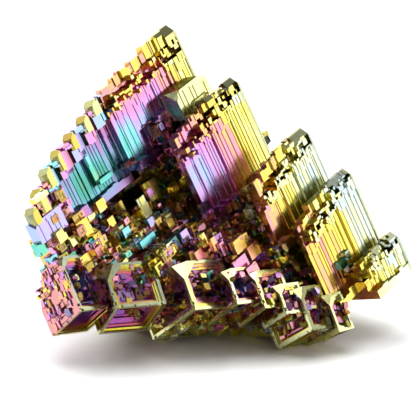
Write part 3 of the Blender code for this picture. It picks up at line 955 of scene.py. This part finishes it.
KNOWN_LEAN = 0.4


def smooth_block(cluster, spans, aim, cut, lean):
    """A bright block with a few shallow grooves and its upper left front corner cut off."""
    low, high = np.array(spans).T
    sizes = 2 * (high - low)
    cells = np.ones(sizes, dtype=bool)
    for _ in range(int(GROOVES_PER_MM * sizes[2] * FINE)):
        at = pick(3, sizes[2] - 3)
        cells[pick(2, 8):, -1:, at:at + pick(1, 4)] = False
    origin = APEX + TERRACE * low @ LATTICE
    bm = crystal_mesh(cells, LATTICE, origin)
    down, front, left = LATTICE
    corner = origin + (sizes * FINE * (0, 1, 1)) @ LATTICE
    trim(bm, corner - left * cut, front * 0.6 + left - down)
    trim(bm, corner - left * (sizes[2] * FINE) + down * 0.3, front - down - left)
    cluster.add(bm, film=aim, spread=0.03, lean=lean, zoned=0.0)


known = Cluster()
for down_span, front_span, left_span, aim, cut, lean in SMOOTH_BLOCKS:
    smooth_block(known, (down_span, front_span, left_span), aim, cut, lean)
for place, size, aim in KNOWN_CRYSTALS:
    centre = layout_point(place)
    bm = stepped_block(centre, size, LATTICE)
    known.add(bm, film=film_toward(aim, face_places(bm)), lean=KNOWN_LEAN)
known_piece = known.finish("known_crystals")

# %% [markdown]
# ## Druse
#
# Small cubes sit all over the lump. Two thousand are needed, so each is a copy of one small
# template with a shallow pit in each of its six faces. All copies of a swarm are placed in one
# array operation.

# %% A template cube and its copies
def pitted_cube(inset, sink):
    """Corners and faces of a unit cube round its middle, with a square pit in each face."""
    ring = np.array(((-1, -1), (1, -1), (1, 1), (-1, 1))) / 2
    layers = [(1.0, 0.5), (1.0 - 2 * inset, 0.5), (1.0 - 2 * inset, 0.5 - sink)]
    corners, faces = [], []
    for axis in range(3):
        for side in (-1, 1):
            first = len(corners)
            for scale, height in layers:
                block = np.zeros((4, 3))
                block[:, axis] = side * height
                block[:, (axis + 1) % 3] = ring[:, 0] * scale
                block[:, (axis + 2) % 3] = ring[:, 1] * scale
                corners.extend(block)
            turn = 1 if side > 0 else -1
            for layer in range(2):
                for k in range(4):
                    a, b = first + 4 * layer + k, first + 4 * layer + (k + 1) % 4
                    faces.append([a, b, b + 4, a + 4][::turn])
            faces.append([first + 8 + k for k in range(4)][::turn])
    places, index = np.unique(np.round(corners, 6), axis=0, return_inverse=True)
    return places, index[np.array(faces)]


DRUSE_PAINTED_SHADE = 0.6                     # painted shade on the darkest small crystals, as a share towards near black
LEAN_SHARE = 0.25                    # share of the small crystals whose growth lines lean
PIT_INSET = 0.24                     # as shares of the small cube's edge
PIT_SINK = 0.1


def cube_swarm(cluster, centres, sizes, axes, films):
    """Add a copy of the pitted cube at each centre, with its own size, axes and film."""
    places, faces = pitted_cube(PIT_INSET, PIT_SINK)
    points = centres[:, None, :] + np.einsum("vk,nk,nkj->nvj", places, sizes, axes)
    index = faces[None] + (np.arange(len(centres)) * len(places))[:, None, None]
    bm = filled_bmesh(points.reshape(-1, 3), index.reshape(-1, 4))
    bmesh.ops.recalc_face_normals(bm, faces=bm.faces[:])
    leans = np.repeat((rng.random(len(films)) < LEAN_SHARE) * 1.0, len(faces))
    # Painted shade: each small crystal is darkened by its own random share.
    painted_shades = np.repeat(rng.uniform(0.0, DRUSE_PAINTED_SHADE, len(films)), len(faces))
    cluster.add(bm, film=np.repeat(films, len(faces)), spread=0.03, dark=painted_shades, lean=leans)


def open_spots(solid):
    """Middles (in coarse cells) and directions of all faces of the lump."""
    padded = np.pad(solid, 1)
    spots, facings = [], []
    for axis in range(3):
        for side in (-1, 1):
            found = np.argwhere(padded & ~np.roll(padded, -side, axis)) - 1.0
            facing = np.zeros(3)
            facing[axis] = side
            spots.append(found + 0.5 + facing / 2)
            facings.append(np.broadcast_to(facing, found.shape))
    return np.concatenate(spots), np.concatenate(facings)


def fin_blocks():
    """Coarse cells that the fins fill, as plain slabs."""
    cells = np.zeros(SPACE_HIGH - SPACE_LOW, dtype=bool)
    tables = zip(FIN_TOPS, FIN_FRONTS, FIN_FEET, FIN_STARTS, FIN_WIDTHS, FIN_LAYERS)
    for top, front, foot, start, wide, layers in tables:
        fill_box(cells, (top, front - LAYER_THICK * layers, start),
                 (foot + 2, front + 1, start + wide), True)
    return cells


FREE_SHARE = 0.5                     # share of the crystals that take any film they like
FREE_FILMS = (0.12, 0.95)
DRUSE_LOWEST = 2.2                   # mm, from the floor
LIT_HOLLOW = 0.2                     # no crystals where a hollow's painted shade is more than this
CUBE_STRETCH = (0.7, 1.6)            # how each edge differs from the cube's size
CUBE_LIFT = (-0.3, 0.4)              # mm, how far a cube's middle stands off the lump
fins_solid = fin_blocks()
spots, facings = open_spots(lump_solid | fins_solid)
home = np.floor(spots - facings / 2).astype(int)
ahead = np.clip(np.floor(spots + facings * 3).astype(int), 0, np.array(fins_solid.shape) - 1)
free = lump_solid[tuple(home.T)] & ~fins_solid[tuple(ahead.T)]
places = APEX + TERRACE * (spots + SPACE_LOW) @ LATTICE
free &= places[:, 2] > DRUSE_LOWEST
places, facings = places[free], facings[free] @ LATTICE
toward_eye = facings @ to_world((0.0, 0.0, 1.0)) > 0
toward_eye &= hollow_shade(places) < LIT_HOLLOW


def druse_films(centres):
    """Film offsets: half the cubes stay near the map, the others take any film they like."""
    count = len(centres)
    near = rng.normal(0.0, 0.10, count)
    free_choice = rng.uniform(*FREE_FILMS, count) - film_map(centres)
    return np.where(rng.random(count) < FREE_SHARE, free_choice, near)


def swarm_piece(name, pool, count, smallest, largest, spread):
    """A piece of many small pitted cubes on a random choice of the given places."""
    chosen = rng.permutation(np.flatnonzero(pool))[:count]
    sizes = rng.uniform(smallest, largest, (count, 1)) * rng.uniform(*CUBE_STRETCH, (count, 3))
    centres = places[chosen] + facings[chosen] * rng.uniform(*CUBE_LIFT, (count, 1))
    cluster = Cluster()
    cube_swarm(cluster, centres, sizes, turned_axes(LATTICE, spread, count), druse_films(centres))
    return cluster.finish(name)


front_druse = swarm_piece("druse_front", toward_eye, 1500, 0.5, 1.5, 0.22)
back_druse = swarm_piece("druse_back", ~toward_eye, 700, 0.6, 1.8, 0.25)

# %% [markdown]
# Between the fins and the small cubes in size come hopper blocks of up to two millimetres, which
# are turned nearly like the fins. Each is its own little stepped crystal, so that no two are alike.

# %% Hopper blocks
BLOCK_COUNT = 420
BLOCK_SIZES = (4, 14)                # fine terraces
HOPPER_SHARE = 0.25                  # the others have stepped corners instead of pits

blocks = Cluster()
chosen = rng.permutation(np.flatnonzero(toward_eye))[:BLOCK_COUNT]
block_axes = turned_axes(LATTICE, 0.07, BLOCK_COUNT)
block_sizes = rng.integers(*BLOCK_SIZES, (BLOCK_COUNT, 3))
block_films = druse_films(places[chosen])
for centre, size, axes, film in zip(places[chosen], block_sizes, block_axes, block_films):
    make = hopper_block if rng.random() < HOPPER_SHARE else stepped_block
    lean = float(rng.random() < LEAN_SHARE)
    # Each hopper block gets its own random painted shade.
    blocks.add(make(centre, size, axes), film=float(film), spread=0.04,
               dark=rng.uniform(0.0, DRUSE_PAINTED_SHADE), lean=lean)
blocks_piece = blocks.finish("hopper_blocks")
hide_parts(NODE)
pieces = (fins_piece, lump_piece, front_piece, ridge_piece, known_piece, front_druse, back_druse,
          blocks_piece)

# %% [markdown]
# ## The oxide film
#
# The metal is one mirror-bright material whose colour depends on how thick the film is, on how
# bare a face is, and on painted shade. A shader group adds the bell of each heart to the base
# thickness, plus noise, and each face adds its own number. A face that isn't zoned leaves the map
# out, so its own number is its whole thickness, which is how a cube's frame gets one even colour. A
# colour ramp turns thickness into interference colour. The colours stay well below full white,
# because bismuth swallows a third of the light at each bounce, which darkens its crevices, and each
# face's painted shade then mixes its colour towards near black where crevices, hollows and gaps
# would be in shade.

# %% The film's colours
FILM_COLOURS = (
    (0.00, (0.47, 0.58, 0.62)), (0.08, (0.62, 0.69, 0.54)), (0.16, (0.76, 0.76, 0.33)),
    (0.24, (0.78, 0.69, 0.13)), (0.31, (0.77, 0.52, 0.12)), (0.39, (0.75, 0.34, 0.28)),
    (0.48, (0.70, 0.28, 0.50)), (0.57, (0.60, 0.30, 0.64)), (0.67, (0.40, 0.42, 0.72)),
    (0.77, (0.24, 0.60, 0.70)), (0.87, (0.12, 0.52, 0.42)), (1.00, (0.40, 0.52, 0.18)),
)
BARE_METAL = (0.50, 0.54, 0.42)
LEAN = (-0.1, -0.2, 0.25)
# near black that painted shade mixes a face's colour towards
PAINTED_SHADE_COLOUR = (0.012, 0.012, 0.016)
FILM_DRIFT = 0.22                    # how far noise makes the film's thickness wander
DRIFT_SCALE = 160.0                  # and how fine that noise is, per metre
GRAIN_SCALE = 900.0
GRAIN_RELIEF = 0.12
GRAIN_HEIGHT = 0.0001                # metres
ROUGHNESS = (0.10, 0.28)


def calculate(tree, operation, *values):
    """Add a Math node, link the values that are sockets and set the others; gives its output."""
    node = tree.nodes.new("ShaderNodeMath")
    node.operation = operation
    for socket, value in zip(node.inputs, values):
        if isinstance(value, bpy.types.NodeSocket):
            tree.links.new(value, socket)
        else:
            socket.default_value = value
    return node.outputs[0]


def face_number(tree, name):
    """One of the numbers stored on each face, as a socket."""
    node = tree.nodes.new("ShaderNodeAttribute")
    node.attribute_name = name
    return node.outputs["Fac"]


def noise_at(tree, place, scale, detail=2.0):
    """Noise between 0 and 1 at a place, as a socket."""
    node = tree.nodes.new("ShaderNodeTexNoise")
    node.inputs["Scale"].default_value = scale
    node.inputs["Detail"].default_value = detail
    tree.links.new(place, node.inputs["Vector"])
    return node.outputs["Fac"]


def thickness_group():
    """Shader group: film thickness at a place, from a base, a bell for each heart, and noise."""
    tree = bpy.data.node_groups.new("film thickness", "ShaderNodeTree")
    for name, way, kind in (("Place", "INPUT", "Vector"), ("Offset", "INPUT", "Float"),
                            ("Zoned", "INPUT", "Float"), ("Thickness", "OUTPUT", "Float")):
        tree.interface.new_socket(name, in_out=way, socket_type="NodeSocket" + kind)
    entry = tree.nodes.new("NodeGroupInput").outputs
    leave = tree.nodes.new("NodeGroupOutput").inputs
    total = 0.0
    for place, radius, swell in HEARTS:
        near = tree.nodes.new("ShaderNodeVectorMath")
        near.operation = "DISTANCE"
        near.inputs[1].default_value = tuple(layout_point(place) * MM)
        tree.links.new(entry["Place"], near.inputs[0])
        share = calculate(tree, "DIVIDE", near.outputs["Value"], radius * MM)
        square = calculate(tree, "MULTIPLY", share, share)
        bell = calculate(tree, "POWER", math.exp(-1.0), square)
        total = calculate(tree, "MULTIPLY_ADD", bell, swell, total)
    noise = noise_at(tree, entry["Place"], DRIFT_SCALE, 3.0)
    drift = calculate(tree, "MULTIPLY_ADD", noise, FILM_DRIFT, BASE_THICKNESS - FILM_DRIFT / 2)
    zones = calculate(tree, "ADD", drift, total)
    whole = calculate(tree, "MULTIPLY_ADD", zones, entry["Zoned"], entry["Offset"])
    tree.links.new(whole, leave["Thickness"])
    return tree


def mixed_toward(tree, colour, share, target):
    """Mix a colour socket towards a fixed colour by a share socket; returns the new colour."""
    mix = tree.nodes.new("ShaderNodeMix")
    mix.data_type = "RGBA"
    sockets = {socket.name: socket for socket in mix.inputs if socket.type == "RGBA"}
    sockets["B"].default_value = (*target, 1.0)
    tree.links.new(colour, sockets["A"])
    tree.links.new(share, mix.inputs["Factor"])
    return next(socket for socket in mix.outputs if socket.type == "RGBA")


def vector_step(tree, operation, first, second=None):
    """Add a Vector Math node fed by one or two sockets."""
    node = tree.nodes.new("ShaderNodeVectorMath")
    node.operation = operation
    tree.links.new(first, node.inputs[0])
    if second is not None:
        tree.links.new(second, node.inputs[1])
    return node.outputs["Vector"]


def leaned_normal(tree):
    """The face's normal, leaned by the face's own share of a fixed direction."""
    shift = tree.nodes.new("ShaderNodeVectorMath")
    shift.operation = "SCALE"
    shift.inputs[0].default_value = LEAN
    tree.links.new(face_number(tree, "lean"), shift.inputs["Scale"])
    shape = tree.nodes.new("ShaderNodeNewGeometry")
    moved = vector_step(tree, "ADD", shape.outputs["Normal"], shift.outputs["Vector"])
    return vector_step(tree, "NORMALIZE", moved)


def film_colour(tree, place):
    """Colour socket: thickness through the ramp, then the bare rims, then painted shade towards near
    black in crevices, hollows and gaps.
    """
    group = tree.nodes.new("ShaderNodeGroup")
    group.node_tree = thickness_group()
    tree.links.new(place, group.inputs["Place"])
    tree.links.new(face_number(tree, "film"), group.inputs["Offset"])
    tree.links.new(face_number(tree, "zoned"), group.inputs["Zoned"])
    ramp = tree.nodes.new("ShaderNodeValToRGB")
    stops = ramp.color_ramp.elements
    while len(stops) < len(FILM_COLOURS):
        stops.new(0.5)
    for stop, (at, colour) in zip(stops, FILM_COLOURS):
        stop.position = at
        stop.color = (*colour, 1.0)
    tree.links.new(group.outputs["Thickness"], ramp.inputs["Fac"])
    bare = mixed_toward(tree, ramp.outputs["Color"], face_number(tree, "rim"), BARE_METAL)
    # Painted shade: the colour is mixed towards near black by each face's own share.
    return mixed_toward(tree, bare, face_number(tree, "dark"), PAINTED_SHADE_COLOUR)


def film_material():
    """Bismuth under its film: colour by thickness with painted shade, a little grain in gloss and
    relief.
    """
    material = bpy.data.materials.new(MATERIAL_NAME)
    material.use_nodes = True
    tree = material.node_tree
    shader = tree.nodes["Principled BSDF"].inputs
    shader["Metallic"].default_value = 1.0
    place = tree.nodes.new("ShaderNodeTexCoord").outputs["Object"]
    tree.links.new(film_colour(tree, place), shader["Base Color"])
    grain = noise_at(tree, place, GRAIN_SCALE)
    gloss = tree.nodes.new("ShaderNodeMapRange")
    gloss.inputs["To Min"].default_value, gloss.inputs["To Max"].default_value = ROUGHNESS
    tree.links.new(grain, gloss.inputs["Value"])
    tree.links.new(gloss.outputs["Result"], shader["Roughness"])
    bump = tree.nodes.new("ShaderNodeBump")
    bump.inputs["Strength"].default_value = GRAIN_RELIEF
    bump.inputs["Distance"].default_value = GRAIN_HEIGHT
    tree.links.new(grain, bump.inputs["Height"])
    tree.links.new(leaned_normal(tree), bump.inputs["Normal"])
    tree.links.new(bump.outputs["Normal"], shader["Normal"])
    return material


oxide = film_material()
for piece in pieces:
    piece.data.materials.clear()
    piece.data.materials.append(oxide)
print("finish:", oxide.name, "with", len(HEARTS), "hearts")

# %% [markdown]
# ## Table, light and camera
#
# Mirror-bright metal shows the room more than itself, so the light is set up as a studio would: big
# soft panels at the right and behind, a high one at the upper left for the cubes' cut corners, and
# weaker ones at the left and in front. The plates, which look to the right, then shine, and the
# small walls between them stay dark. The top panel only lights the floor: metal doesn't mirror it.

# %% Floor
FLOOR_REACH = 3.0                    # metres, half of the floor's side
FLOOR_COLOUR = (0.9, 0.9, 0.9, 1.0)
FLOOR_FINISH = {"Roughness": 0.8, "Specular IOR Level": 0.1}


def make_floor():
    """A large plain pale floor that the specimen rests on."""
    mesh = bpy.data.meshes.new("floor")
    corners = np.array(((-1, -1, 0), (1, -1, 0), (1, 1, 0), (-1, 1, 0))) * FLOOR_REACH
    mesh.from_pydata(corners.tolist(), [], [(0, 1, 2, 3)])
    floor = add_object("floor", mesh)
    material = bpy.data.materials.new("pale_floor")
    material.use_nodes = True
    shader = material.node_tree.nodes["Principled BSDF"].inputs
    shader["Base Color"].default_value = FLOOR_COLOUR
    for name, value in FLOOR_FINISH.items():
        shader[name].default_value = value
    floor.data.materials.append(material)


make_floor()

# %% Light
MIDDLE = layout_point((6.84, -32.76, 12.6)) * MM


def soft_panel(name, direction, distance, size, radiance, shown_in_metal=True):
    """A light panel that faces the specimen. Watts are radiance times pi times its area."""
    light = bpy.data.lights.new(name, "AREA")
    light.shape = "RECTANGLE"
    light.size, light.size_y = size
    light.energy = radiance * math.pi * size[0] * size[1]
    lamp = add_object(name, light)
    lamp.visible_glossy = shown_in_metal
    towards = Vector(direction).normalized()
    lamp.location = Vector(MIDDLE) + towards * distance
    lamp.rotation_euler = towards.to_track_quat("Z", "Y").to_euler()


soft_panel("right_panel", (0.95, -0.2, 0.28), 0.6, (0.6, 0.6), 1.6)
soft_panel("back_panel", (-0.12, 0.92, 0.36), 0.7, (0.9, 0.5), 1.7)
soft_panel("left_panel", (-0.98, -0.08, 0.18), 0.7, (0.4, 0.35), 0.75)
soft_panel("front_panel", (0.7, 0.15, 0.68), 0.7, (0.35, 0.35), 0.9)
soft_panel("corner_panel", (-0.5, 0.36, 0.79), 0.7, (0.8, 0.8), 2.0)
soft_panel("top_panel", (0.0, 0.12, 1.0), 0.7, (0.7, 0.7), 3.9, shown_in_metal=False)

WORLD_SEEN = 1.0
WORLD_ON_FLOOR = 0.10
WORLD_IN_METAL = 0.20


def make_world():
    """White room: full for the eye, softer on the floor, dim where the metal mirrors it."""
    world = bpy.data.worlds.new("studio")
    bpy.context.scene.world = world
    world.use_nodes = True
    tree = world.node_tree
    surface = tree.nodes["Background"]
    surface.inputs["Color"].default_value = (1.0, 1.0, 1.0, 1.0)
    paths = tree.nodes.new("ShaderNodeLightPath")
    seen, glossy = paths.outputs["Is Camera Ray"], paths.outputs["Is Glossy Ray"]
    floor_part = calculate(tree, "MULTIPLY_ADD", seen, WORLD_SEEN - WORLD_ON_FLOOR, WORLD_ON_FLOOR)
    strength = calculate(tree, "MULTIPLY_ADD", glossy, WORLD_IN_METAL - WORLD_ON_FLOOR, floor_part)
    tree.links.new(strength, surface.inputs["Strength"])


make_world()
bpy.context.scene.view_settings.view_transform = "Standard"

# %% Camera
VIEW_WIDTH = 0.0756                  # metres across the picture at the specimen
CAMERA_DISTANCE = 0.38
camera_data = bpy.data.cameras.new("camera")
camera = add_object("camera", camera_data)
outwards = Vector(to_world((0.0, 0.0, 1.0)))
camera.location = Vector(MIDDLE) + outwards * CAMERA_DISTANCE
camera.rotation_euler = outwards.to_track_quat("Z", "Y").to_euler()
camera_data.lens = camera_data.sensor_width * CAMERA_DISTANCE / VIEW_WIDTH
camera_data.clip_start = 0.01
bpy.context.scene.camera = camera
